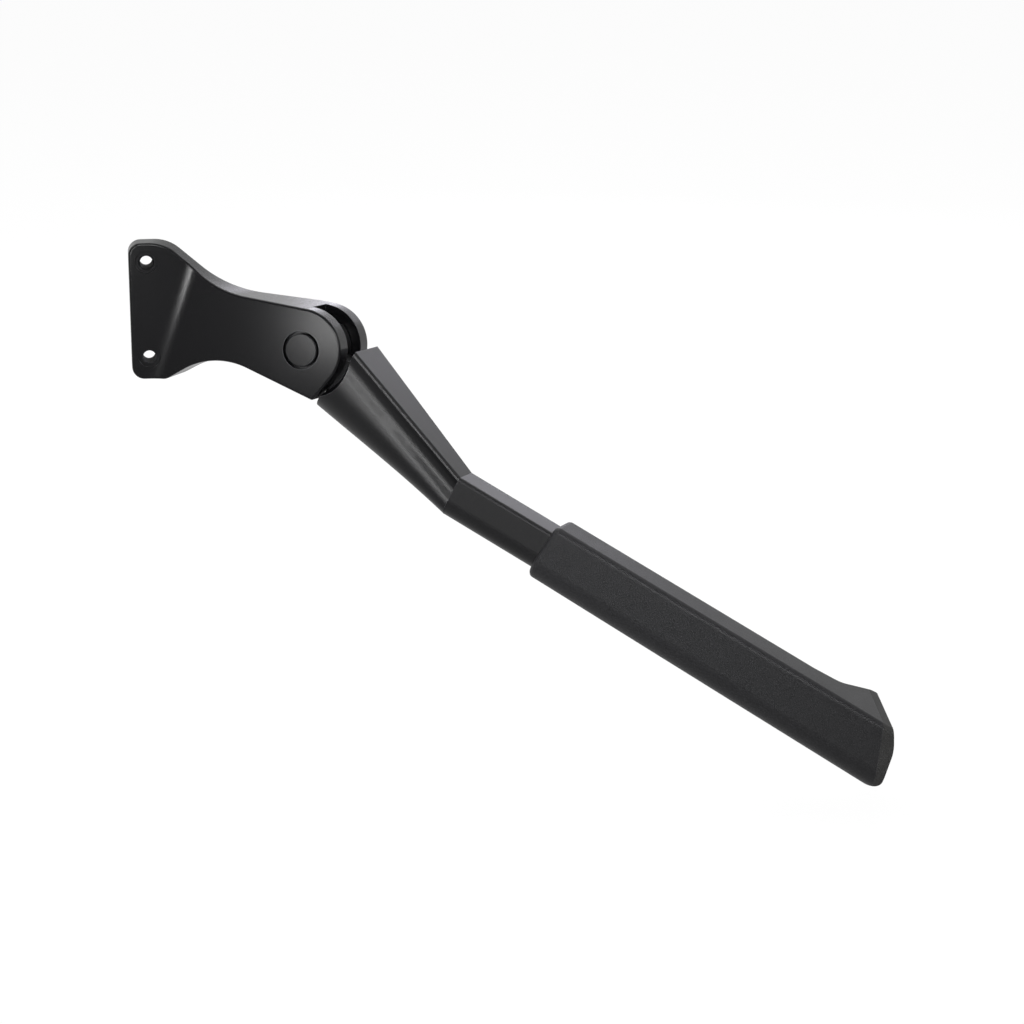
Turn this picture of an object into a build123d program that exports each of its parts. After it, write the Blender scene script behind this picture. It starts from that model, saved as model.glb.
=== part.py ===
"""Rear kickstand for a bicycle: a two-bolt bracket with a fork, a folding cast leg and a sliding foot."""
import os
from math import acos, atan, atan2, cos, degrees, hypot, radians, sin, tan

from build123d import *

os.makedirs("parts", exist_ok=True)

# Mounting plate, drawn round the middle of its two holes
hole_pitch = 40.0
hole_dia = 5.3
hole_chamfer = 0.8
plate_thickness = 8.5
plate_left = 7.3
plate_top = 28.1
plate_bottom = 29.7
plate_corner = 5.2
plate_top_round = 15.0
plate_low_round = 5.0
plate_right = 20.0

# Pivot axis, turned out from the plate and dipped, so that the leg splays when it is down
pivot_turn = 25.2
pivot_dip = 8.2
pivot_x = 61.3
pivot_z = -13.15
crease_x = 12.4
crease_radius = 14.0

# Arm and fork, drawn on the plane square to the pivot axis
fork_width = 34.0
slot_width = 16.0
slot_roof = 1.0
slot_floor = 2.0
ear_radius = 17.2
arm_top_slope = 6.8
arm_top_length = 28.0
gusset_radius = 42.0
gusset_turn = 35.2
arm_root = 90.0
stop_out = 5.5
stop_down = 20.5
arm_low_slope = 20.9
arm_low_length = 31.6
waist_radius = 32.0
waist_turn = 52.7
stop_round = 1.0
bracket_round = 1.0
front_lean = 0.7

# Pin, bush, washers and ring
pin_dia = 10.0
head_dia = 13.6
head_height = 3.0
head_groove = 1.1
running_gap = 0.05
loose_gap = 0.3
bush_wall = 1.3
washer_thickness = 0.8
washer_gap = 0.1
thrust_washer_dia = 20.0
pin_washer_dia = 17.0
pin_washer_thickness = 1.0
ring_dia = 14.0
ring_thickness = 1.2
ring_groove_depth = 0.7
ring_opening = 50.0
back_recess_depth = 4.0
pin_end_sink = 0.8

# Tongue and cam of the leg
cam_radius = 13.0
cam_flat_depth = 2.5
cam_gap = 0.6
fold_angle = 98.0
tongue_top_angle = 14.0
tongue_low_angle = 64.0
tongue_reach = 26.0

# Detent plunger and spring
bore_dia = 9.0
bore_depth = 16.0
plunger_length = 9.0
plunger_wall = 1.2
plunger_crown = 4.0
plunger_round = 1.0
spring_wire = 0.9
spring_turns = 4

# Leg, upper part
seat_gap = 1.7
stop_gap = 0.3
seat_chamfer = 3.0
seat_chamfer_depth = 9.0
seat_relief = 3.7
upper_angle = 47.1
upper_start = 12.0
upper_top = 16.9
shoulder_inset = 2.0
shoulder_height = 33.0
shoulder_corner = 2.2
shoulder_corner_depth = 8.0
shoulder_flute_depth = 1.4
shoulder_flute_end = 9.0
bend_flute_depth = 2.4
bend_flute_end = 10.8
flute_pull = 1.9
flute_run = 0.45
ridge_angle = 25.0
ridge_run = 0.22
ridge_inset = 0.4
belly_run = 0.5
belly_fullness = 0.68
belly_sweep = 1.22
upper_stations = 3

# Leg, lower part
lower_angle = 25.8
bend_run = 82.3
lower_width = 17.8
lower_height = 18.7
lower_drop = 14.0
lower_belly = 8.6
lower_length = 124.7
leg_edge = 1.6
track_depth = 0.5
track_width = 8.0
track_start = 33.0
track_length = 80.0

# Sleeve and foot
sleeve_start = 127.4
mouth_tilt = 5.0
sleeve_width = 21.2
sleeve_top_wall = 3.7
sleeve_low_wall = 3.6
sleeve_swell = 1.6
sleeve_belly = 10.2
sleeve_edge = 2.5
sleeve_mouth = 2.4
socket_depth = 118.0
sole_x = 285.9
sole_lean = 4.3
seam_tilt = 8.0
pad_thickness = 5.2
tread_floor = 1.6
tread_width = 2.2
tread_length = 14.0
tread_pitch = 5.0
tread_count = 4
heel_round = 5.5
rocker_rise = 22.5
rocker_angle = 18.0
rocker_round = 20.0
flare_back = 24.4
flare_lead = 14.0
flare_slope_run = 11.5
flare_depth = 25.5
flare_blend = 8.0
flare_corner = 4.0
plug_width = 8.0
plug_length = 14.0
plug_depth = 6.0
plug_gap = 0.15

# Clamp of the sleeve
clamp_run = 24.0
insert_dia = 8.0
insert_length = 2.4
insert_sink = 0.5
screw_dia = 5.0
screw_length = 3.6
screw_tip_dia = 3.6
screw_tip_length = 0.8
screw_socket = 2.5
screw_socket_depth = 2.0

# Directions and planes that the pieces share
reach = 200.0
turn = radians(pivot_turn)
dip = radians(pivot_dip)
upper = radians(upper_angle)
lower = radians(lower_angle)
inward = Vector(sin(turn) * cos(dip), cos(turn) * cos(dip), -sin(dip))
across = Vector(cos(turn), -sin(turn), 0)
back_way = Vector(0, 1, 0)
crease_up = inward.cross(back_way).normalized()
crease_across = back_way.cross(crease_up)
pivot_y = -plate_thickness - ((pivot_x - crease_x) * inward.X + pivot_z * inward.Z) / inward.Y
pivot_mid = Vector(pivot_x, pivot_y, pivot_z) + inward * (fork_width / 2)
swing = Plane(origin=pivot_mid, x_dir=across, z_dir=inward * -1)
upper_dir = swing.x_dir * cos(upper) - swing.y_dir * sin(upper)
upper_up = swing.x_dir * sin(upper) + swing.y_dir * cos(upper)
lower_dir = swing.x_dir * cos(lower) - swing.y_dir * sin(lower)
lower_up = swing.x_dir * sin(lower) + swing.y_dir * cos(lower)
crease_plane = Plane(origin=(crease_x, -plate_thickness, 0), x_dir=crease_across, z_dir=crease_up)
upper_plane = Plane(
    origin=pivot_mid + upper_dir * upper_start + upper_up * upper_top, x_dir=inward, z_dir=upper_dir
)
bend_plane = Plane(
    origin=pivot_mid + lower_dir * bend_run - lower_up * lower_drop, x_dir=inward, z_dir=lower_dir
)
sleeve_plane = Plane(
    origin=pivot_mid + lower_dir * sleeve_start + lower_up * (sleeve_top_wall - lower_drop),
    x_dir=inward,
    z_dir=lower_dir,
)
mouth = radians(mouth_tilt)
mouth_plane = Plane(
    origin=sleeve_plane.origin, x_dir=inward, z_dir=lower_dir * cos(mouth) - lower_up * sin(mouth)
)
bore_plane = Plane(origin=pivot_mid, x_dir=inward, z_dir=across * -1)

# Sizes that follow from others
skew_sin = inward.dot(crease_across)
skew_cos = inward.dot(back_way)
back_run = (fork_width * skew_cos - plate_thickness) / skew_sin
stop_angle = degrees(atan2(-stop_down, stop_out))
stop_tangent = stop_angle + degrees(acos(ear_radius / hypot(stop_out, stop_down)))
stop_way = radians(stop_tangent)
ear_top_angle = 90 - arm_top_slope
arm_top_heading = 180 - arm_top_slope
arm_low_heading = 180 - arm_low_slope
pocket_radius = cam_radius + cam_gap
pin_radius = pin_dia / 2
pin_bore = pin_radius + running_gap
bush_radius = pin_bore + bush_wall
eye_radius = bush_radius + running_gap
ear_inner = slot_width / 2
ear_outer = fork_width / 2
tongue_half = ear_inner - washer_thickness - 2 * washer_gap
back_recess_floor = ear_outer - back_recess_depth
ring_start = back_recess_floor + pin_washer_thickness + running_gap
sleeve_height = sleeve_top_wall + lower_height + sleeve_low_wall
flare_height = sleeve_height - sleeve_belly
sleeve_half = sleeve_width / 2
heel_rise = -lower_dir.Z / lower_dir.X
heel_run = rocker_rise / (1 / tan(radians(rocker_angle)) + heel_rise)
seat_radius = ear_radius + seat_gap
stop_edge = ear_radius + stop_gap
relief_edge = seat_radius + seat_relief
relief_way = acos(seat_radius / relief_edge)
shoulder_half = fork_width / 2 - shoulder_inset
ridge = radians(ridge_angle)
lower_half = lower_width / 2
tongue_top_way = radians(tongue_top_angle)
tongue_low_way = radians(tongue_low_angle)
plunger_start = pocket_radius - cam_gap / 2
coil_radius = bore_dia / 2 - running_gap - plunger_wall - loose_gap - spring_wire / 2
coil_start = plunger_start + plunger_crown + spring_wire / 2 + running_gap
coil_height = pocket_radius + bore_depth - spring_wire / 2 - running_gap - coil_start

# Bracket: the arm's outline, bent at the rounded crease and trimmed at its root to the mounting plate
with BuildPart() as bracket:
    with BuildSketch(swing) as arm_outline:
        with BuildLine():
            ear = CenterArc((0, 0), ear_radius, stop_tangent, ear_top_angle - stop_tangent)
            stop_line = Line(ear @ 0, (stop_out, -stop_down))
            low_edge = PolarLine(stop_line @ 1, arm_low_length, arm_low_heading)
            waist = JernArc(low_edge @ 1, low_edge % 1, waist_radius, waist_turn)
            low_gusset = PolarLine(
                waist @ 1, arm_root, arm_low_heading + waist_turn, length_mode=LengthMode.HORIZONTAL
            )
            top_edge = PolarLine(ear @ 1, arm_top_length, arm_top_heading)
            gusset = JernArc(top_edge @ 1, top_edge % 1, gusset_radius, -gusset_turn)
            top_gusset = PolarLine(
                gusset @ 1, arm_root, arm_top_heading - gusset_turn, length_mode=LengthMode.HORIZONTAL
            )
            Line(low_gusset @ 1, top_gusset @ 1)
        make_face()
        fillet(arm_outline.vertices().sort_by_distance((stop_out, -stop_down))[0], stop_round)
    extrude(amount=fork_width, both=True)
    with BuildSketch(crease_plane) as plan:
        with BuildLine():
            Polyline(
                (-reach, 0),
                (0, 0),
                (reach * skew_cos, -reach * skew_sin),
                (reach * skew_cos + fork_width * skew_sin, fork_width * skew_cos - reach * skew_sin),
                (fork_width * skew_sin + back_run * skew_cos, plate_thickness),
                (-reach, plate_thickness),
                close=True,
            )
        make_face()
        fillet(plan.vertices().sort_by_distance((0, 0))[0], crease_radius)
    extrude(amount=reach, both=True, mode=Mode.INTERSECT)
    with BuildSketch(Plane.XZ) as plate_outline:
        with BuildLine():
            Polyline(
                (-plate_left, plate_top),
                (-plate_left, -plate_bottom),
                (plate_right, -plate_bottom),
                (plate_right, -reach),
                (reach, -reach),
                (reach, plate_top),
                close=True,
            )
        make_face()
        fillet(plate_outline.vertices().group_by(Axis.X)[0], plate_corner)
    extrude(amount=reach, both=True, mode=Mode.INTERSECT)
    for end, shoulder_round in ((0, plate_low_round), (-1, plate_top_round)):
        plate_edge = bracket.faces().filter_by(Axis.Z).sort_by(Axis.Z)[end]
        fillet(plate_edge.edges().sort_by(Axis.X)[-1], shoulder_round)
    front_faces = bracket.faces().filter_by(lambda face: face.normal_at().Y < -front_lean)
    fillet(front_faces.edges().filter_by(Axis(pivot_mid, crease_up), reverse=True), bracket_round)
    fillet(bracket.faces().sort_by(Axis(pivot_mid, inward))[-1].edges(), bracket_round)
    with BuildSketch(swing):
        Circle(pocket_radius)
        with Locations((slot_roof, 0)):
            Rectangle(reach, reach, align=(Align.MIN, Align.MIN))
        with Locations((-slot_floor, 0)):
            Rectangle(reach, reach, align=(Align.MIN, Align.MAX))
    extrude(amount=ear_inner, both=True, mode=Mode.SUBTRACT)
    with BuildSketch(swing):
        Circle(pin_bore)
    extrude(amount=reach, both=True, mode=Mode.SUBTRACT)
    with BuildSketch(swing.offset(ear_outer)):
        Circle(head_dia / 2 + head_groove)
    extrude(amount=-head_height, mode=Mode.SUBTRACT)
    with BuildSketch(swing.offset(-back_recess_floor)):
        Circle(pin_washer_dia / 2 + loose_gap)
    extrude(amount=-reach, mode=Mode.SUBTRACT)
    with BuildSketch(bore_plane):
        Circle(bore_dia / 2)
    extrude(amount=pocket_radius + bore_depth, mode=Mode.SUBTRACT)
    with BuildSketch(Plane.XZ):
        with GridLocations(0, hole_pitch, 1, 2):
            Circle(hole_dia / 2)
    extrude(amount=reach, mode=Mode.SUBTRACT)
    rings = bracket.edges().filter_by(GeomType.CIRCLE).filter_by(lambda edge: edge.is_closed)
    hole_rims = rings.filter_by(lambda edge: edge.radius < pin_radius).sort_by(Axis.Y)
    chamfer(hole_rims[:2], hole_chamfer)

bracket.part.label = "bracket"
export_step(bracket.part, "parts/bracket.step")

# Pivot pin: flat head flush with the front ear, groove for the ring near its other end
with BuildPart() as pivot_pin:
    with BuildSketch(swing.offset(ear_outer)):
        Circle(head_dia / 2)
    extrude(amount=-head_height)
    with BuildSketch(swing.offset(ear_outer)):
        Circle(pin_radius)
    extrude(amount=-(fork_width - pin_end_sink))
    with BuildSketch(swing.offset(-ring_start + running_gap)):
        Circle(pin_dia)
        Circle(pin_radius - ring_groove_depth, mode=Mode.SUBTRACT)
    extrude(amount=-(ring_thickness + 2 * running_gap), mode=Mode.SUBTRACT)
    chamfer(pivot_pin.faces().sort_by(Axis(pivot_mid, inward))[-1].edges(), ring_groove_depth / 2)
    chamfer(pivot_pin.faces().sort_by(Axis(pivot_mid, inward))[0].edges(), ring_groove_depth / 2)

pivot_pin.part.label = "pivot_pin"
export_step(pivot_pin.part, "parts/pivot_pin.step")

# Washer and snap ring at the back of the pin
with BuildPart() as pin_washer:
    with BuildSketch(swing.offset(-back_recess_floor)):
        Circle(pin_washer_dia / 2)
        Circle(pin_bore, mode=Mode.SUBTRACT)
    extrude(amount=-pin_washer_thickness)

pin_washer.part.label = "pin_washer"
export_step(pin_washer.part, "parts/pin_washer.step")

with BuildPart() as retaining_ring:
    with BuildSketch(swing.offset(-ring_start)):
        Circle(ring_dia / 2)
        Circle(pin_radius - ring_groove_depth + running_gap, mode=Mode.SUBTRACT)
        with BuildLine():
            Polyline(
                (0, 0),
                (ring_dia, ring_dia * tan(radians(ring_opening / 2))),
                (ring_dia, -ring_dia * tan(radians(ring_opening / 2))),
                close=True,
            )
        make_face(mode=Mode.SUBTRACT)
    extrude(amount=-ring_thickness)

retaining_ring.part.label = "retaining_ring"
export_step(retaining_ring.part, "parts/retaining_ring.step")

# Bearing bush in the leg's eye, and the thin washers on both sides of the tongue
with BuildPart() as eye_bush:
    with BuildSketch(swing):
        Circle(bush_radius)
        Circle(pin_bore, mode=Mode.SUBTRACT)
    extrude(amount=tongue_half, both=True)

eye_bush.part.label = "eye_bush"
export_step(eye_bush.part, "parts/eye_bush.step")

with BuildPart() as thrust_washer_front:
    with BuildSketch(swing.offset(tongue_half + washer_gap)):
        Circle(thrust_washer_dia / 2)
        Circle(pin_bore, mode=Mode.SUBTRACT)
    extrude(amount=washer_thickness)

thrust_washer_front.part.label = "thrust_washer_front"
export_step(thrust_washer_front.part, "parts/thrust_washer_front.step")

with BuildPart() as thrust_washer_back:
    with BuildSketch(swing.offset(-tongue_half - washer_gap)):
        Circle(thrust_washer_dia / 2)
        Circle(pin_bore, mode=Mode.SUBTRACT)
    extrude(amount=-washer_thickness)

thrust_washer_back.part.label = "thrust_washer_back"
export_step(thrust_washer_back.part, "parts/thrust_washer_back.step")

# Detent: hollow plunger in the blind bore, pushed by a coil spring, stored drawn back off the cam
with BuildPart() as detent_plunger:
    with BuildSketch(bore_plane.offset(plunger_start)):
        Circle(bore_dia / 2 - running_gap)
    extrude(amount=plunger_length)
    fillet(detent_plunger.faces().sort_by(Axis(pivot_mid, across))[-1].edges(), plunger_round)
    with BuildSketch(bore_plane.offset(plunger_start + plunger_crown)):
        Circle(bore_dia / 2 - running_gap - plunger_wall)
    extrude(amount=plunger_length, mode=Mode.SUBTRACT)

detent_plunger.part.label = "detent_plunger"
export_step(detent_plunger.part, "parts/detent_plunger.step")

with BuildPart() as detent_spring:
    with BuildLine() as coil:
        Helix(
            coil_height / spring_turns,
            coil_height,
            coil_radius,
            center=bore_plane.origin + bore_plane.z_dir * coil_start,
            direction=bore_plane.z_dir,
        )
    with BuildSketch(Plane(origin=coil.line @ 0, x_dir=bore_plane.z_dir, z_dir=coil.line % 0)):
        Rectangle(spring_wire, spring_wire)
    sweep(path=coil.line, is_frenet=True)

detent_spring.part.label = "detent_spring"
export_step(detent_spring.part, "parts/detent_spring.step")

# Leg: tapered and fluted upper part, plain lower part, and the tongue that turns between the ears
with BuildPart() as leg:
    for station in range(upper_stations + 1):
        share = station / upper_stations
        half = shoulder_half + (lower_half - shoulder_half) * share
        height = lower_height + (shoulder_height - lower_height) * (1 - share) ** belly_sweep
        flute_depth = shoulder_flute_depth + (bend_flute_depth - shoulder_flute_depth) * share
        flute_end = shoulder_flute_end + (bend_flute_end - shoulder_flute_end) * share
        ridge_half = half - ridge_inset
        ridge_lead = ridge_run * flute_end
        belly_lead = belly_run * (height - flute_end)
        station_plane = Plane(
            origin=upper_plane.origin * (1 - share) + bend_plane.origin * share,
            x_dir=inward,
            z_dir=upper_dir * (1 - share) + lower_dir * share,
        )
        with BuildSketch(station_plane):
            with BuildLine():
                Line((0, 0), (half - leg_edge, 0))
                RadiusArc((half - leg_edge, 0), (half, -leg_edge), leg_edge)
                Bezier(
                    (half, -leg_edge),
                    (half - flute_pull * flute_depth, -leg_edge - flute_run * flute_end),
                    (ridge_half - ridge_lead * sin(ridge), ridge_lead * cos(ridge) - flute_end),
                    (ridge_half, -flute_end),
                )
                Bezier(
                    (ridge_half, -flute_end),
                    (ridge_half + belly_lead * sin(ridge), -flute_end - belly_lead * cos(ridge)),
                    (belly_fullness * half, -height),
                    (0, -height),
                )
                mirror(about=Plane.YZ)
            make_face()
    loft()
    with BuildSketch(Plane(origin=upper_plane.origin, x_dir=inward, z_dir=upper_up)):
        for side in (-1, 1):
            with Locations((side * shoulder_half, 0)):
                Rectangle(2 * shoulder_corner, 2 * shoulder_corner)
            with Locations((side * (shoulder_half - shoulder_corner), -shoulder_corner)):
                Circle(shoulder_corner, mode=Mode.SUBTRACT)
    extrude(amount=-shoulder_corner_depth, mode=Mode.SUBTRACT)
    with BuildSketch(bend_plane) as lower_section:
        Rectangle(lower_width, lower_height, align=(Align.CENTER, Align.MAX))
        fillet(lower_section.vertices().group_by(Axis.Y)[0], lower_belly)
        fillet(lower_section.vertices().group_by(Axis.Y)[-1], leg_edge)
    extrude(amount=lower_length)
    with BuildSketch(swing):
        Circle(seat_radius)
        with BuildLine():
            Polyline(
                (0, 0),
                (stop_edge * cos(stop_way), stop_edge * sin(stop_way)),
                (
                    stop_edge * cos(stop_way) + reach * sin(stop_way),
                    stop_edge * sin(stop_way) - reach * cos(stop_way),
                ),
                (reach * sin(stop_way), -reach * cos(stop_way)),
                close=True,
            )
        make_face()
        with BuildLine():
            Polyline(
                (0, 0),
                (seat_radius * cos(relief_way), -seat_radius * sin(relief_way)),
                (relief_edge, 0),
                (relief_edge, reach),
                (0, reach),
                close=True,
            )
        make_face()
    extrude(amount=reach, both=True, mode=Mode.SUBTRACT)
    for side in (-1, 1):
        with BuildSketch(swing.offset(side * ear_outer)):
            Circle(seat_radius + seat_chamfer)
        with BuildSketch(swing.offset(side * (ear_outer - seat_chamfer_depth))):
            Circle(seat_radius)
        loft(mode=Mode.SUBTRACT)
    with BuildSketch(swing):
        Circle(cam_radius)
        with PolarLocations(cam_radius - cam_flat_depth, 2, 180 - fold_angle, fold_angle, endpoint=True):
            Rectangle(cam_radius, 2 * cam_radius, align=(Align.MIN, Align.CENTER), mode=Mode.SUBTRACT)
        with BuildLine():
            Polyline(
                (0, 0),
                (tongue_reach * cos(tongue_top_way), -tongue_reach * sin(tongue_top_way)),
                (tongue_reach * cos(tongue_low_way), -tongue_reach * sin(tongue_low_way)),
                close=True,
            )
        make_face()
        Circle(eye_radius, mode=Mode.SUBTRACT)
    extrude(amount=tongue_half, both=True)
    with BuildSketch(bend_plane.offset(track_start)):
        with Locations((0, track_depth - lower_height)):
            Rectangle(track_width, track_width, align=(Align.CENTER, Align.MAX))
    extrude(amount=track_length, mode=Mode.SUBTRACT)

leg.part.label = "leg"
export_step(leg.part, "parts/leg.step")

# Foot blank: the sleeve's outside with its flare and rounded heel, from which sleeve and sole are cut
lean = radians(sole_lean)
tilt = radians(seam_tilt)
sole_out = Vector(cos(lean), -sin(lean), 0)
sole_along = Vector(sin(lean), cos(lean), 0)
plug_axis = pivot_mid - lower_up * (lower_drop + lower_height / 2)
plug_origin = plug_axis + lower_dir * ((sole_x - pad_thickness - plug_axis.X) / lower_dir.X)
plug_plane = Plane(origin=plug_origin, x_dir=sole_along, z_dir=sole_out * cos(tilt) - Vector(0, 0, sin(tilt)))
clamp_plane = Plane(
    origin=bend_plane.origin + lower_dir * (sleeve_start - bend_run + clamp_run) - lower_up * lower_height,
    x_dir=lower_dir,
    z_dir=lower_up * -1,
)
foot_run = (sole_x - sleeve_plane.origin.X) / lower_dir.X
flare_start = foot_run - flare_back
flare_turn = flare_start + flare_slope_run
flare_end = foot_run + flare_depth
swell = atan(sleeve_swell / foot_run)
belly_dir = lower_dir * cos(swell) - lower_up * sin(swell)
belly_plane = Plane(origin=sleeve_plane.origin - lower_up * sleeve_height, x_dir=inward, z_dir=belly_dir)
heel = belly_plane.origin + belly_dir * ((sole_x - belly_plane.origin.X) / belly_dir.X)
top_plane = Plane(origin=sleeve_plane.origin, x_dir=lower_dir, z_dir=lower_up)
with BuildPart() as foot_blank:
    with BuildSketch(belly_plane.offset(-sleeve_height)) as sleeve_section:
        Rectangle(sleeve_width, 2 * sleeve_height, align=(Align.CENTER, Align.MIN))
        fillet(sleeve_section.vertices().group_by(Axis.Y)[0], sleeve_belly)
    extrude(amount=foot_run + 3 * sleeve_height)
    split(bisect_by=top_plane, keep=Keep.BOTTOM)
    split(bisect_by=mouth_plane, keep=Keep.TOP)
    sleeve_top = foot_blank.faces().sort_by(Axis(pivot_mid, lower_up))[-1]
    fillet(sleeve_top.edges().filter_by(Axis(pivot_mid, lower_dir)), sleeve_edge)
    fillet(foot_blank.faces().sort_by(Axis(pivot_mid, lower_dir))[0].edges(), sleeve_mouth)
    with BuildSketch(top_plane) as flare:
        with BuildLine():
            Polyline(
                (flare_start - flare_lead, 0),
                (flare_start - flare_lead, sleeve_half - sleeve_edge),
                (flare_start, sleeve_half),
                (flare_turn, flare_depth),
                (flare_end, flare_depth),
                (flare_end, 0),
                close=True,
            )
        make_face()
        fillet(flare.vertices().sort_by_distance((flare_start, sleeve_half))[0], flare_blend)
        fillet(flare.vertices().sort_by_distance((flare_turn, flare_depth))[0], flare_corner)
    extrude(amount=-flare_height)
    with BuildSketch(Plane(origin=heel, x_dir=sole_out, z_dir=sole_along * -1)) as side_profile:
        with BuildLine():
            Polyline(
                (-heel_run, heel_run * heel_rise),
                (-reach, reach * heel_rise),
                (-reach, reach),
                (0, reach),
                (0, rocker_rise),
                close=True,
            )
        make_face()
        fillet(side_profile.vertices().sort_by_distance((0, 0))[0], heel_round)
        fillet(side_profile.vertices().sort_by_distance((0, rocker_rise))[0], rocker_round)
    extrude(amount=reach, both=True, mode=Mode.INTERSECT)

# Sleeve: hollow for the leg, cut square to the ground for the sole, bored for the clamp
with BuildPart() as sleeve:
    add(foot_blank.part)
    split(bisect_by=plug_plane, keep=Keep.BOTTOM)
    with BuildSketch(sleeve_plane.offset(-sleeve_height)) as socket:
        with Locations((0, loose_gap - sleeve_top_wall)):
            Rectangle(
                lower_width + 2 * loose_gap, lower_height + 2 * loose_gap, align=(Align.CENTER, Align.MAX)
            )
        fillet(socket.vertices().group_by(Axis.Y)[0], lower_belly + loose_gap)
        fillet(socket.vertices().group_by(Axis.Y)[-1], leg_edge + loose_gap)
    extrude(amount=sleeve_height + socket_depth, mode=Mode.SUBTRACT)
    with BuildSketch(clamp_plane):
        Circle(insert_dia / 2 + running_gap)
    extrude(amount=sleeve_height, mode=Mode.SUBTRACT)
    with BuildSketch(plug_plane):
        Rectangle(plug_width + 2 * plug_gap, plug_length + 2 * plug_gap)
    extrude(amount=-(plug_depth + plug_gap), mode=Mode.SUBTRACT)

sleeve.part.label = "sleeve"
export_step(sleeve.part, "parts/sleeve.step")

# Sole pad: closes the foot, with tread grooves across it and a plug pressed into the sleeve
with BuildPart() as sole_pad:
    add(foot_blank.part)
    split(bisect_by=plug_plane, keep=Keep.TOP)
    with BuildSketch(plug_plane.offset(tread_floor)):
        with GridLocations(0, tread_pitch, 1, tread_count):
            Rectangle(tread_length, tread_width)
    extrude(amount=reach, mode=Mode.SUBTRACT)
    with BuildSketch(plug_plane):
        Rectangle(plug_width, plug_length)
    extrude(amount=-plug_depth)

sole_pad.part.label = "sole_pad"
export_step(sole_pad.part, "parts/sole_pad.step")

# Clamp: threaded insert in the sleeve's thick wall and the grub screw that bears on the leg's flat track
with BuildPart() as clamp_insert:
    with BuildSketch(clamp_plane.offset(insert_sink)):
        Circle(insert_dia / 2)
        Circle(screw_dia / 2 + running_gap, mode=Mode.SUBTRACT)
    extrude(amount=insert_length)

clamp_insert.part.label = "clamp_insert"
export_step(clamp_insert.part, "parts/clamp_insert.step")

with BuildPart() as clamp_screw:
    with BuildSketch(clamp_plane.offset(running_gap - track_depth)):
        Circle(screw_tip_dia / 2)
    extrude(amount=screw_tip_length)
    with BuildSketch(clamp_plane.offset(running_gap - track_depth + screw_tip_length)):
        Circle(screw_dia / 2)
    extrude(amount=screw_length - screw_tip_length)
    with BuildSketch(clamp_plane.offset(running_gap - track_depth + screw_length)):
        RegularPolygon(screw_socket / 2, 6, major_radius=False)
    extrude(amount=-screw_socket_depth, mode=Mode.SUBTRACT)

clamp_screw.part.label = "clamp_screw"
export_step(clamp_screw.part, "parts/clamp_screw.step")
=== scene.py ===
"""Bicycle kickstand: its finishes, a white studio and the camera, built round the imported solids."""
from math import cos, pi, radians, sin

import bpy
from mathutils import Matrix, Vector


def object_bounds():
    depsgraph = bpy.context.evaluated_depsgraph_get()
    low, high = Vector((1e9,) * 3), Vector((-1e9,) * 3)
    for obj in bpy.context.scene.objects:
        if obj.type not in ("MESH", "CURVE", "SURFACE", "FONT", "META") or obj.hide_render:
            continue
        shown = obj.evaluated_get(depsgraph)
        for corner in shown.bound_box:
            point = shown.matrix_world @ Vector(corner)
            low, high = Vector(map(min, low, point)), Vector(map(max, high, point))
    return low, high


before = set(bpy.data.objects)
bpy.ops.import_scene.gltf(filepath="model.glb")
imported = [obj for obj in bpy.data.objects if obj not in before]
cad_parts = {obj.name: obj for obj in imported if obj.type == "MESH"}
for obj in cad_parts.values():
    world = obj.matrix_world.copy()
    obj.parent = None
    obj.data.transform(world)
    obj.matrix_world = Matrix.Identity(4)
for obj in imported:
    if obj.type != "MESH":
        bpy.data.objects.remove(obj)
cad_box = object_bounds()

# Bracket: an alloy casting that bolts to the chainstay and carries the leg in its fork. It is blasted, then
# coated with satin black powder paint, which lies a little thinner along the edges; its grey edge line is also
# a painted highlight.


def new_group(name, inputs, outputs):
    """A shader node group with float sockets; gives the tree, its input node and its output node."""
    tree = bpy.data.node_groups.new(name, "ShaderNodeTree")
    for label, value in inputs.items():
        socket = tree.interface.new_socket(label, in_out="INPUT", socket_type="NodeSocketFloat")
        socket.default_value = value
    for label in outputs:
        tree.interface.new_socket(label, in_out="OUTPUT", socket_type="NodeSocketFloat")
    return tree, tree.nodes.new("NodeGroupInput"), tree.nodes.new("NodeGroupOutput")


def noise_in(tree, coordinates, scale, detail):
    """A noise texture in the object's own coordinates, its scale taken from a socket."""
    noise = tree.nodes.new("ShaderNodeTexNoise")
    noise.inputs["Detail"].default_value = detail
    tree.links.new(coordinates, noise.inputs["Vector"])
    tree.links.new(scale, noise.inputs["Scale"])
    return noise.outputs["Fac"]


# Skin of a coated or moulded surface: a fine grain, and broad clouds where the coat lies thicker or thinner
skin_sizes = {"Grain Scale": 900.0, "Cloud Scale": 30.0}
skin, skin_in, skin_out = new_group("surface_skin", skin_sizes, ("Grain", "Clouds"))
skin_place = skin.nodes.new("ShaderNodeTexCoord").outputs["Object"]
grain = noise_in(skin, skin_place, skin_in.outputs["Grain Scale"], detail=2.0)
clouds = noise_in(skin, skin_place, skin_in.outputs["Cloud Scale"], detail=3.0)
skin.links.new(grain, skin_out.inputs["Grain"])
skin.links.new(clouds, skin_out.inputs["Clouds"])

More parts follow.
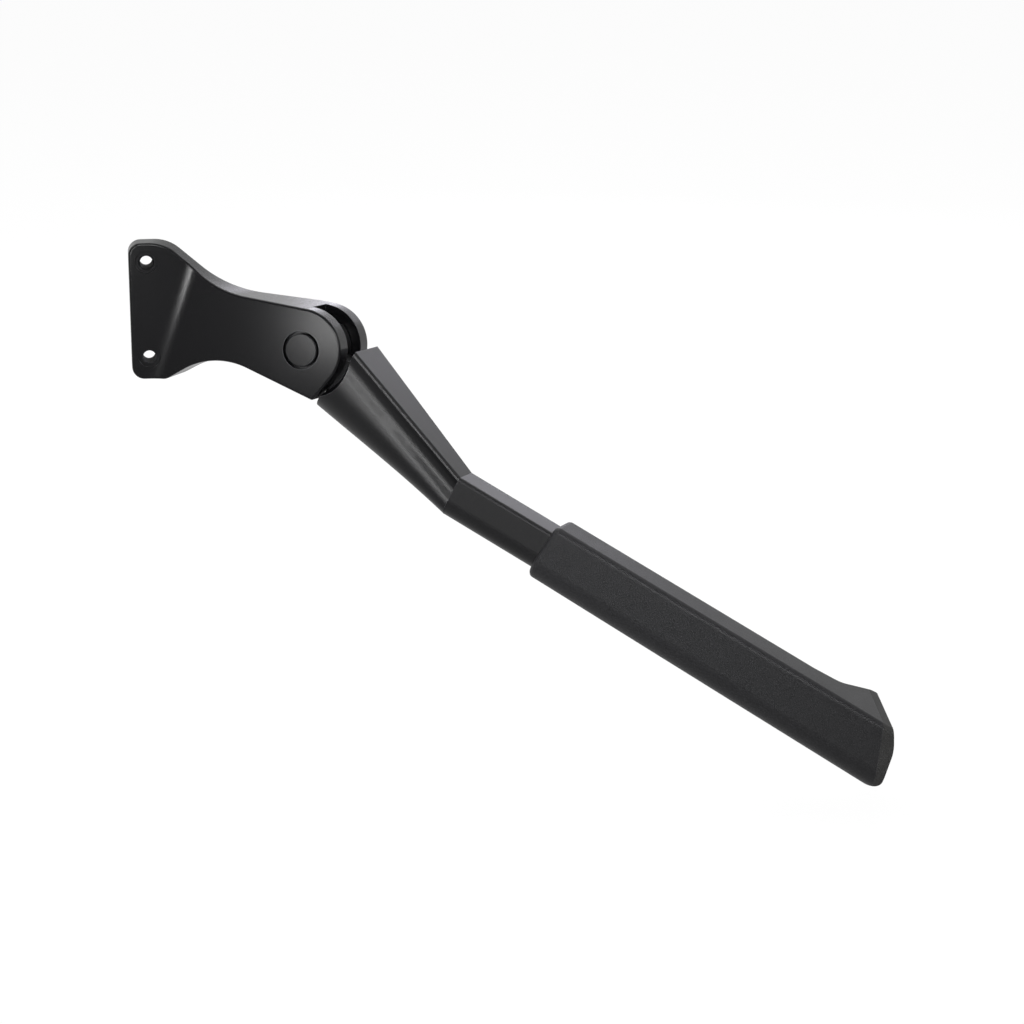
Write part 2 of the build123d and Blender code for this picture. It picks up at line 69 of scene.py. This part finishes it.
# Edges: a mask that is strongest on sharp edges, broken up by a noise so that it isn't a drawn line. The
# surface's normal is set against one rounded over the edge: the less alike they are, the sharper the edge.
edge_sizes = {"Width": 0.0006, "Break Scale": 160.0}
likeness_on_flat, likeness_on_edge = 0.98, 0.80
edges, edges_in, edges_out = new_group("soft_edges", edge_sizes, ("Mask",))
rounded = edges.nodes.new("ShaderNodeBevel")
rounded.samples = 6
edges.links.new(edges_in.outputs["Width"], rounded.inputs["Radius"])
plain_normal = edges.nodes.new("ShaderNodeNewGeometry").outputs["Normal"]
alike = edges.nodes.new("ShaderNodeVectorMath")
alike.operation = "DOT_PRODUCT"
edges.links.new(rounded.outputs["Normal"], alike.inputs[0])
edges.links.new(plain_normal, alike.inputs[1])
turned = edges.nodes.new("ShaderNodeMapRange")
turned.inputs["From Min"].default_value = likeness_on_flat
turned.inputs["From Max"].default_value = likeness_on_edge
edges.links.new(alike.outputs["Value"], turned.inputs["Value"])
edge_place = edges.nodes.new("ShaderNodeTexCoord").outputs["Object"]
edge_breaks = noise_in(edges, edge_place, edges_in.outputs["Break Scale"], detail=4.0)
broken = edges.nodes.new("ShaderNodeMath")
broken.operation = "MULTIPLY"
edges.links.new(turned.outputs["Result"], broken.inputs[0])
edges.links.new(edge_breaks, broken.inputs[1])
edges.links.new(broken.outputs["Value"], edges_out.inputs["Mask"])


def new_material(name):
    """A material with a Principled shader; gives the material, its node tree and the shader."""
    material = bpy.data.materials.new(name)
    material.use_nodes = True
    return material, material.node_tree, material.node_tree.nodes["Principled BSDF"]


def place_group(tree, group, **values):
    """Places a node group in a material and sets its inputs; Grain_Scale means the socket Grain Scale."""
    node = tree.nodes.new("ShaderNodeGroup")
    node.node_tree = group
    for label, value in values.items():
        node.inputs[label.replace("_", " ")].default_value = value
    return node.outputs


def spread(tree, source, low, high):
    """Maps a mask or a noise from 0..1 to low..high."""
    node = tree.nodes.new("ShaderNodeMapRange")
    node.inputs["To Min"].default_value = low
    node.inputs["To Max"].default_value = high
    tree.links.new(source, node.inputs["Value"])
    return node.outputs["Result"]


def tint(tree, mask, first, second):
    """Mixes two colours by a mask; either may be a socket."""
    node = tree.nodes.new("ShaderNodeMix")
    node.data_type = "RGBA"
    tree.links.new(mask, node.inputs["Factor"])
    for label, colour in (("A", first), ("B", second)):
        socket = next(s for s in node.inputs if s.name == label and s.type == "RGBA")
        if isinstance(colour, tuple):
            socket.default_value = (*colour, 1.0)
        else:
            tree.links.new(colour, socket)
    return next(s for s in node.outputs if s.type == "RGBA")


def raise_bump(tree, shader, height, distance, strength):
    """Feeds a height into the shader's normal."""
    node = tree.nodes.new("ShaderNodeBump")
    node.inputs["Distance"].default_value = distance
    node.inputs["Strength"].default_value = strength
    tree.links.new(height, node.inputs["Height"])
    tree.links.new(node.outputs["Normal"], shader.inputs["Normal"])


def wear(node_name, material):
    """Gives a CAD node its finish."""
    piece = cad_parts[node_name]
    piece.data.materials.clear()
    piece.data.materials.append(material)


def black_paint(name, grain_scale, peel, gloss_low, gloss_high, shine):
    """Black powder paint: fine orange peel, clouded gloss, greyer along the edges, partly from thinner paint
    and partly as a painted highlight.
    """
    thick_coat, thin_coat, edge_coat_and_highlight = (0.0014, 0.0014, 0.0016), (0.0026, 0.0026, 0.0030), (0.045, 0.045, 0.049)
    material, tree, shader = new_material(name)
    coat = place_group(tree, skin, Grain_Scale=grain_scale, Cloud_Scale=22.0)
    thin_coat_and_highlight_edges = place_group(tree, edges, Width=0.0006, Break_Scale=240.0)
    tone = tint(tree, coat["Clouds"], thick_coat, thin_coat)
    # The grey edge tone is partly thinner paint and partly a painted highlight along the edges.
    tree.links.new(tint(tree, thin_coat_and_highlight_edges["Mask"], tone, edge_coat_and_highlight), shader.inputs["Base Color"])
    tree.links.new(spread(tree, coat["Clouds"], gloss_low, gloss_high), shader.inputs["Roughness"])
    shader.inputs["Specular IOR Level"].default_value = shine
    raise_bump(tree, shader, coat["Grain"], distance=0.0002, strength=peel)
    return material


bracket_paint = black_paint(
    "bracket_paint", grain_scale=1400.0, peel=0.05, gloss_low=0.20, gloss_high=0.26, shine=0.10)
wear("bracket", bracket_paint)

# The two bolt holes in the plate are spot-faced on the front for a washer, and tapped. Their walls are without
# gloss and show the thread, and a darker tone on them is painted shade inside the holes.
hole_half_pitch, hole_radius, spot_radius, thread_pitch = 0.020, 0.00265, 0.0043, 0.0010
plate_thickness = 0.0085
wall_inner_margin, wall_outer_margin, spot_rim = 0.00002, 0.00007, 0.0004
spot_start, spot_end = -0.5 * plate_thickness, -0.6 * plate_thickness
cut_depth = 0.00025
wall_painted_shade, wall_roughness = (0.0012, 0.0012, 0.0013), 0.7
bracket_tree = bracket_paint.node_tree
bracket_shader = bracket_tree.nodes["Principled BSDF"]
plate_place = bracket_tree.nodes.new("ShaderNodeTexCoord").outputs["Object"]


def vector_step(operation, first, second=None):
    """One vector step in the bracket's material; the second term is a plain vector."""
    node = bracket_tree.nodes.new("ShaderNodeVectorMath")
    node.operation = operation
    bracket_tree.links.new(first, node.inputs[0])
    if second:
        node.inputs[1].default_value = second
    return node.outputs["Value" if operation == "LENGTH" else "Vector"]


def ramp(source, start, end):
    """A soft step that rises from 0 at start to 1 at end."""
    node = bracket_tree.nodes.new("ShaderNodeMapRange")
    node.inputs["From Min"].default_value = start
    node.inputs["From Max"].default_value = end
    bracket_tree.links.new(source, node.inputs["Value"])
    return node.outputs["Result"]


def number_step(operation, first, second=None):
    """One step with numbers in the bracket's material; the second term is a number or a socket."""
    node = bracket_tree.nodes.new("ShaderNodeMath")
    node.operation = operation
    bracket_tree.links.new(first, node.inputs[0])
    if isinstance(second, float):
        node.inputs[1].default_value = second
    elif second is not None:
        bracket_tree.links.new(second, node.inputs[1])
    return node.outputs["Value"]


from_hole = vector_step("SUBTRACT", vector_step("ABSOLUTE", plate_place), (0.0, 0.0, hole_half_pitch))
from_hole = vector_step("LENGTH", vector_step("MULTIPLY", from_hole, (1.0, 0.0, 1.0)))
in_hole = ramp(from_hole, hole_radius + wall_outer_margin, hole_radius + wall_inner_margin)
along_hole = bracket_tree.nodes.new("ShaderNodeSeparateXYZ")
bracket_tree.links.new(plate_place, along_hole.inputs["Vector"])
thread = number_step("SINE", number_step("MULTIPLY", along_hole.outputs["Y"], 2.0 * pi / thread_pitch))
hole_height = number_step("MULTIPLY", in_hole, thread)
spot_face = ramp(from_hole, spot_radius + spot_rim, spot_radius)
on_front = ramp(along_hole.outputs["Y"], spot_start, spot_end)
hole_height = number_step("SUBTRACT", hole_height, number_step("MULTIPLY", spot_face, on_front))
hole_cut = bracket_tree.nodes.new("ShaderNodeBump")
hole_cut.inputs["Distance"].default_value = cut_depth
bracket_tree.links.new(hole_height, hole_cut.inputs["Height"])
bracket_tree.links.new(bracket_shader.inputs["Normal"].links[0].from_socket, hole_cut.inputs["Normal"])
bracket_tree.links.new(hole_cut.outputs["Normal"], bracket_shader.inputs["Normal"])
coated = bracket_shader.inputs["Base Color"].links[0].from_socket
# The darker wall tone is painted shade inside the bolt holes.
bracket_tone = tint(bracket_tree, in_hole, coated, wall_painted_shade)
bracket_tree.links.new(bracket_tone, bracket_shader.inputs["Base Color"])
glossed = bracket_shader.inputs["Roughness"].links[0].from_socket
bracket_gloss = number_step("MAXIMUM", number_step("MULTIPLY", in_hole, wall_roughness), glossed)
bracket_tree.links.new(bracket_gloss, bracket_shader.inputs["Roughness"])

# Pivot pin: a turned steel pin, pressed flush with the front ear and painted with the bracket. Its flat
# head shows as a disc inside a narrow groove.
pin_paint = black_paint("pin_paint", grain_scale=1600.0, peel=0.04, gloss_low=0.20, gloss_high=0.26, shine=0.10)
wear("pivot_pin", pin_paint)

# Leg: a die-cast alloy leg with a long flute in each side of its upper part. It is coated with the bracket's
# black paint in a duller grade, and turns on the pivot pin between the ears.
leg_paint = black_paint("leg_paint", grain_scale=1400.0, peel=0.03, gloss_low=0.37, gloss_high=0.42, shine=0.16)
wear("leg", leg_paint)

# Sleeve of the foot: moulded in glass-filled nylon in a spark-eroded mould, which leaves an even, fine and
# dull grain. It slides on the leg and is held by the clamp screw underneath.
sleeve_low, sleeve_high, sleeve_edge = (0.0055, 0.0055, 0.006), (0.0105, 0.0105, 0.0115), (0.030, 0.030, 0.031)
sleeve_plastic, sleeve_tree, sleeve_shader = new_material("sleeve_plastic")
sleeve_skin = place_group(sleeve_tree, skin, Grain_Scale=2600.0, Cloud_Scale=45.0)
sleeve_edges = place_group(sleeve_tree, edges, Width=0.0007, Break_Scale=420.0)
sleeve_tone = tint(sleeve_tree, sleeve_skin["Grain"], sleeve_low, sleeve_high)
sleeve_tone = tint(sleeve_tree, sleeve_edges["Mask"], sleeve_tone, sleeve_edge)
sleeve_tree.links.new(sleeve_tone, sleeve_shader.inputs["Base Color"])
sleeve_gloss = spread(sleeve_tree, sleeve_skin["Clouds"], low=0.43, high=0.51)
sleeve_tree.links.new(sleeve_gloss, sleeve_shader.inputs["Roughness"])
sleeve_shader.inputs["Specular IOR Level"].default_value = 0.13
raise_bump(sleeve_tree, sleeve_shader, sleeve_skin["Grain"], distance=0.0003, strength=0.22)
wear("sleeve", sleeve_plastic)

# Sole pad: a soft black rubber moulding with cross ribs, plugged into the end of the foot. It is duller than
# the sleeve and slightly dusty.
sole_black, sole_dust = (0.010, 0.010, 0.010), (0.019, 0.0186, 0.0182)
sole_rubber, sole_tree, sole_shader = new_material("sole_rubber")
sole_skin = place_group(sole_tree, skin, Grain_Scale=1500.0, Cloud_Scale=90.0)
sole_tone = tint(sole_tree, sole_skin["Clouds"], sole_black, sole_dust)
sole_tree.links.new(sole_tone, sole_shader.inputs["Base Color"])
sole_gloss = spread(sole_tree, sole_skin["Grain"], low=0.62, high=0.78)
sole_tree.links.new(sole_gloss, sole_shader.inputs["Roughness"])
sole_shader.inputs["Specular IOR Level"].default_value = 0.18
raise_bump(sole_tree, sole_shader, sole_skin["Grain"], distance=0.0003, strength=0.18)
wear("sole_pad", sole_rubber)

# Bush and thrust washers: moulded in black acetal, smooth and slightly waxy. The bush is pressed into the eye
# of the leg, and the washers are trapped between the leg and the fork's ears.
acetal_dark, acetal_pale = (0.016, 0.016, 0.017), (0.026, 0.026, 0.027)
bearing_plastic, bearing_tree, bearing_shader = new_material("bearing_plastic")
bearing_skin = place_group(bearing_tree, skin, Grain_Scale=700.0, Cloud_Scale=150.0)
bearing_tone = tint(bearing_tree, bearing_skin["Clouds"], acetal_dark, acetal_pale)
bearing_tree.links.new(bearing_tone, bearing_shader.inputs["Base Color"])
bearing_gloss = spread(bearing_tree, bearing_skin["Grain"], low=0.36, high=0.46)
bearing_tree.links.new(bearing_gloss, bearing_shader.inputs["Roughness"])
raise_bump(bearing_tree, bearing_shader, bearing_skin["Grain"], distance=0.0001, strength=0.08)
for node_name in ("eye_bush", "thrust_washer_front", "thrust_washer_back"):
    wear(node_name, bearing_plastic)

# Steel small parts: washer, snap ring, detent plunger, its spring and the clamp screw, all in zinc-plated
# steel with faint tool marks.
zinc_dull, zinc_bright = (0.42, 0.42, 0.43), (0.56, 0.56, 0.56)
zinc_steel, zinc_tree, zinc_shader = new_material("zinc_steel")
zinc_skin = place_group(zinc_tree, skin, Grain_Scale=1100.0, Cloud_Scale=240.0)
zinc_tone = tint(zinc_tree, zinc_skin["Clouds"], zinc_dull, zinc_bright)
zinc_tree.links.new(zinc_tone, zinc_shader.inputs["Base Color"])
zinc_gloss = spread(zinc_tree, zinc_skin["Grain"], low=0.28, high=0.44)
zinc_tree.links.new(zinc_gloss, zinc_shader.inputs["Roughness"])
zinc_shader.inputs["Metallic"].default_value = 1.0
raise_bump(zinc_tree, zinc_shader, zinc_skin["Grain"], distance=0.0001, strength=0.10)
for node_name in ("pin_washer", "retaining_ring", "detent_plunger", "detent_spring", "clamp_screw"):
    wear(node_name, zinc_steel)

# Clamp insert: a threaded bush, turned in brass. It is pressed into the sleeve's thick underside to take the
# clamp screw.
brass_dull, brass_bright = (0.52, 0.36, 0.13), (0.66, 0.47, 0.19)
insert_brass, brass_tree, brass_shader = new_material("insert_brass")
brass_skin = place_group(brass_tree, skin, Grain_Scale=1300.0, Cloud_Scale=300.0)
brass_tone = tint(brass_tree, brass_skin["Clouds"], brass_dull, brass_bright)
brass_tree.links.new(brass_tone, brass_shader.inputs["Base Color"])
brass_gloss = spread(brass_tree, brass_skin["Grain"], low=0.26, high=0.40)
brass_tree.links.new(brass_gloss, brass_shader.inputs["Roughness"])
brass_shader.inputs["Metallic"].default_value = 1.0
raise_bump(brass_tree, brass_shader, brass_skin["Grain"], distance=0.0001, strength=0.08)
wear("clamp_insert", insert_brass)

# Studio: a wide white floor, just under the lowest point that the foot reaches when it is drawn right out,
# and a white room. Both show plain white to the camera and in reflections, and the floor keeps a faint share
# of the stand's soft shadow.
foot_travel, fall_per_travel, floor_gap = 0.025, 0.431, 0.0005
foot_drop = foot_travel * fall_per_travel + floor_gap
floor_level = cad_box[0][2] - foot_drop
floor_half = 6.0
white_share = 0.95
room_fill, room_white = 0.40, 1.0
floor_mesh = bpy.data.meshes.new("studio_floor")
floor_signs = [(-1, -1), (1, -1), (1, 1), (-1, 1)]
floor_corners = [(x * floor_half, y * floor_half, floor_level) for x, y in floor_signs]
floor_mesh.from_pydata(floor_corners, [], [(0, 1, 2, 3)])
floor = bpy.data.objects.new("studio_floor", floor_mesh)
bpy.context.scene.collection.objects.link(floor)
floor_white = bpy.data.materials.new("floor_white")
floor_white.use_nodes = True
floor_tree = floor_white.node_tree
floor_tree.nodes.clear()


def seen_directly(tree):
    """1 for camera, glossy and transmission rays, which show the white background, and 0 for the rest."""
    rays = tree.nodes.new("ShaderNodeLightPath").outputs
    both = tree.nodes.new("ShaderNodeMath")
    both.operation = "MAXIMUM"
    tree.links.new(rays["Is Camera Ray"], both.inputs[0])
    tree.links.new(rays["Is Glossy Ray"], both.inputs[1])
    every = tree.nodes.new("ShaderNodeMath")
    every.operation = "MAXIMUM"
    tree.links.new(both.outputs["Value"], every.inputs[0])
    tree.links.new(rays["Is Transmission Ray"], every.inputs[1])
    return every.outputs["Value"]


floor_share = floor_tree.nodes.new("ShaderNodeMath")
floor_share.operation = "MULTIPLY"
floor_share.inputs[1].default_value = white_share
floor_tree.links.new(seen_directly(floor_tree), floor_share.inputs[0])
floor_matt = floor_tree.nodes.new("ShaderNodeBsdfDiffuse")
floor_matt.inputs["Color"].default_value = (0.9, 0.9, 0.9, 1.0)
floor_glow = floor_tree.nodes.new("ShaderNodeEmission")
floor_mix = floor_tree.nodes.new("ShaderNodeMixShader")
floor_tree.links.new(floor_share.outputs["Value"], floor_mix.inputs[0])
floor_tree.links.new(floor_matt.outputs["BSDF"], floor_mix.inputs[1])
floor_tree.links.new(floor_glow.outputs["Emission"], floor_mix.inputs[2])
floor_end = floor_tree.nodes.new("ShaderNodeOutputMaterial")
floor_tree.links.new(floor_mix.outputs["Shader"], floor_end.inputs["Surface"])
floor_mesh.materials.append(floor_white)

room = bpy.data.worlds.new("studio_room")
bpy.context.scene.world = room
room.use_nodes = True
room_tree = room.node_tree
room_air = room_tree.nodes["Background"]
room_air.inputs["Color"].default_value = (1.0, 1.0, 1.0, 1.0)
room_light = spread(room_tree, seen_directly(room_tree), room_fill, room_white)
room_tree.links.new(room_light, room_air.inputs["Strength"])

# Lamps: soft boxes in front, behind, above and at both sides, and two small ones that light the fork's ears
# and the crease of the arm. The camera doesn't see them.


def softbox(name, place, target, width, height, power, beam=180.0, tone=(1.0, 1.0, 1.0)):
    """A soft rectangular studio lamp, turned towards a point of the stand; a grid may narrow its beam."""
    lamp = bpy.data.lights.new(name, "AREA")
    lamp.shape = "RECTANGLE"
    lamp.size = width
    lamp.size_y = height
    lamp.energy = power
    lamp.spread = radians(beam)
    lamp.color = tone
    holder = bpy.data.objects.new(name, lamp)
    holder.location = place
    holder.rotation_euler = (Vector(target) - Vector(place)).to_track_quat("-Z", "Y").to_euler()
    holder.visible_camera = False
    bpy.context.scene.collection.objects.link(holder)


softbox("key_box", place=(0.04, -1.03, 0.38), target=(0.09, -0.050, -0.040),
        width=0.38, height=0.32, power=0.80, beam=40.0)
softbox("left_box", place=(-0.287, -0.964, 0.087), target=(0.09, -0.050, -0.040),
        width=0.30, height=0.24, power=0.24, beam=40.0)
softbox("back_panel", place=(0.46, 1.08, 0.085), target=(0.12, -0.05, -0.03),
        width=0.52, height=0.14, power=0.90, tone=(0.90, 0.88, 1.0))
softbox("top_box", place=(0.20, 0.62, 1.05), target=(0.14, -0.07, -0.06),
        width=1.0, height=0.7, power=12.0)
softbox("rim_box", place=(-0.78, 0.30, 0.95), target=(0.12, -0.06, -0.05),
        width=0.8, height=0.6, power=8.0)
softbox("right_box", place=(1.10, -0.50, 0.45), target=(0.20, -0.10, -0.10),
        width=0.6, height=0.6, power=5.0)
softbox("fork_box", place=(-0.035, -0.155, 0.010), target=(0.070, -0.038, -0.013),
        width=0.036, height=0.036, power=0.155)
softbox("crease_box", place=(-0.186, -0.410, -0.018), target=(0.0154, -0.009, 0.012),
        width=0.03, height=0.02, power=0.00030, beam=4.5)

# Camera: the photograph's viewpoint, fitted to the two bolt holes and the plate's edges. The lens comes from
# the fitted focal length in pixels, in a picture 1024 pixels wide.
camera_turn, camera_drop = radians(-7.93), radians(16.99)
camera_place = (-0.0262, -1.2909, 0.3015)
sensor_width, focal_pixels, picture_pixels = 36.0, 3150.0, 1024.0
camera_lens = bpy.data.cameras.new("photo_camera")
camera_lens.sensor_fit = "HORIZONTAL"
camera_lens.sensor_width = sensor_width
camera_lens.lens = sensor_width * focal_pixels / picture_pixels
camera_lens.clip_end = 50.0
camera = bpy.data.objects.new("photo_camera", camera_lens)
level_reach = cos(camera_drop)
camera_ahead = Vector((-sin(camera_turn) * level_reach, cos(camera_turn) * level_reach, -sin(camera_drop)))
camera_aim = camera_ahead.to_track_quat("-Z", "Y").to_matrix().to_4x4()
camera.matrix_world = Matrix.Translation(camera_place) @ camera_aim
bpy.context.scene.collection.objects.link(camera)
bpy.context.scene.camera = camera
bpy.context.scene.view_settings.view_transform = "Standard"
